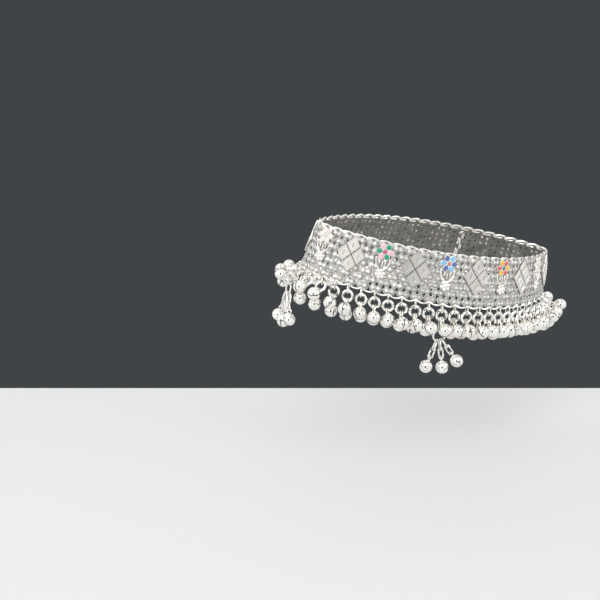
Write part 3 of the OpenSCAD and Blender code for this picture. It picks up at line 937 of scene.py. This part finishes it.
# The seam's groove and the slit's inner walls get full painted shade.
slit_ball = shape(bm, lambda co: 1.0 if co.length < BALL_R - 0.1 else 0.0)
bm = bmesh.new()
bmesh.ops.create_uvsphere(bm, u_segments=12, v_segments=6, radius=CAP_R)
bmesh.ops.scale(bm, verts=bm.verts, vec=(1, 1, CAP_FLAT))
bmesh.ops.translate(bm, verts=bm.verts, vec=(0, 0, BALL_R - CAP_SINK))
bell_cap = shape(bm)
eye_shapes = {}


def bell_parts(reach, place, twist):
    """A bell round its middle, with its eye's middle at that reach above it."""
    key = round(reach, 2)
    if key not in eye_shapes:
        eye_len = reach + EYE_SPARE + EYE_R + EYE_WIRE_R - BELL_R + EYE_SINK
        eye_shapes[key] = (wire_ring(EYE_R, EYE_WIRE_R, 14, 6, stretch=eye_len - 2 * (EYE_R + EYE_WIRE_R)),
                           Matrix.Translation((0, 0, BELL_R - EYE_SINK + eye_len / 2))
                           @ Matrix.Rotation(pi / 2, 4, "Z"))
    eye, eye_place = eye_shapes[key]
    return [(slit_ball, [place @ Matrix.Rotation(twist, 4, "Z")]), (bell_cap, [place]),
            (eye, [place @ eye_place])]


def hung_bell(start, x, y, z, eye_z, twist):
    """A bell hung on the wire that crosses at height eye_z."""
    rise = eye_z - z
    place = start @ Matrix.Translation((x, y, z)) @ Matrix.Rotation(atan2(y, rise), 4, "X")
    return bell_parts(hypot(y, rise) - eye_slack, place, twist)


OUTER_BELL = (0.4, -2.85, -2.95)
INNER_BELL = (-0.4, 2.0, -5.2)
TASSEL_RINGS = (9, 48)
TASSEL_PUSH = 1.2
STAGGER = 0.45
TWIST = 2.4
for name, spot, node in (("bells_out", OUTER_BELL, "outer_bells"), ("bells_in", INNER_BELL, "inner_bells")):
    parts = []
    for i in range(RINGS):
        shift = STAGGER if i % 2 == 0 else -STAGGER
        if i in TASSEL_RINGS:
            if spot is INNER_BELL:
                continue
            shift = TASSEL_PUSH
        parts += hung_bell(hanging(ring_s(i)), spot[0], spot[1] - shift, ring_foot_z + spot[2],
                           ring_foot_z, i * TWIST)
    bells = piece_from(name, parts, [polished_silver])
    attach(bells, "root")
    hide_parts(node)

# Tassels: a long link in a jump ring, a hub ring under it and three strands of two links
# with a bell each. All of it is loose silver wire.
LINK_R = 0.85
DROP_R = 0.92
LINK_WIRE_R = 0.3
DRAWN_LINK_WIRE_R = 0.36
HUB_WIRE_R = 0.38
STRAND_LINK = 4.5
LINK_SLACK = 0.2
DROP_LEN = (5.8, 4.4)
TASSEL_SWING = (0, 44)
HUB_R = 2.4
STRAND_TURNS = (-20, 9, 36)
quarter_turn = Matrix.Rotation(pi / 2, 4, "Z")
drop_top = RING_WIRE_R + LINK_WIRE_R + 2 * GAP
hub_ring = wire_ring(HUB_R, HUB_WIRE_R, 28, 6)
strand_link = wire_ring(LINK_R, DRAWN_LINK_WIRE_R, 14, 6, stretch=STRAND_LINK - 2 * LINK_R)
hang_len = STRAND_LINK - 2 * LINK_WIRE_R - GAP
bell_reach = BELL_R + EYE_R + EYE_WIRE_R - EYE_SINK
bell_slack = EYE_R - EYE_WIRE_R - LINK_WIRE_R - GAP
for k in range(2):
    start = (hanging(ring_s(TASSEL_RINGS[k])) @ Matrix.Translation((0, 0, ring_foot_z))
             @ Matrix.Rotation(radians(TASSEL_SWING[k]), 4, "X")
             @ Matrix.Translation((-OUTER_BELL[0], 0, 0)))
    drop = wire_ring(DROP_R, DRAWN_LINK_WIRE_R, 14, 6, stretch=DROP_LEN[k] - 2 * DROP_R)
    hub_z = drop_top - DROP_LEN[k] + 2 * LINK_WIRE_R + GAP - HUB_R
    hub = start @ Matrix.Translation((0, 0, hub_z))
    link_places, bells = [], []
    for j, turn in enumerate(STRAND_TURNS):
        strand = hub @ Matrix.Rotation(radians(-turn), 4, "Y") @ Matrix.Translation((0, 0, -HUB_R))
        first_z = 2 * LINK_WIRE_R + GAP - STRAND_LINK / 2
        run = hang_len - LINK_SLACK
        link_places.append(strand @ Matrix.Translation((0, 0, first_z)) @ quarter_turn)
        link_places.append(strand @ Matrix.Translation((0, 0, first_z - run)))
        bell_place = strand @ Matrix.Translation((0, 0, -run - hang_len - bell_slack - bell_reach))
        bells += bell_parts(bell_reach, bell_place, j * TWIST)
    tassel = piece_from("tassel_%d_silver" % (k + 1), [
        (drop, [start @ Matrix.Translation((0, 0, drop_top - DROP_LEN[k] / 2)) @ quarter_turn]),
        (hub_ring, [hub]),
        (strand_link, link_places),
    ] + bells, [polished_silver])
    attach(tassel, "root")
    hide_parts("tassel_%d" % (k + 1))
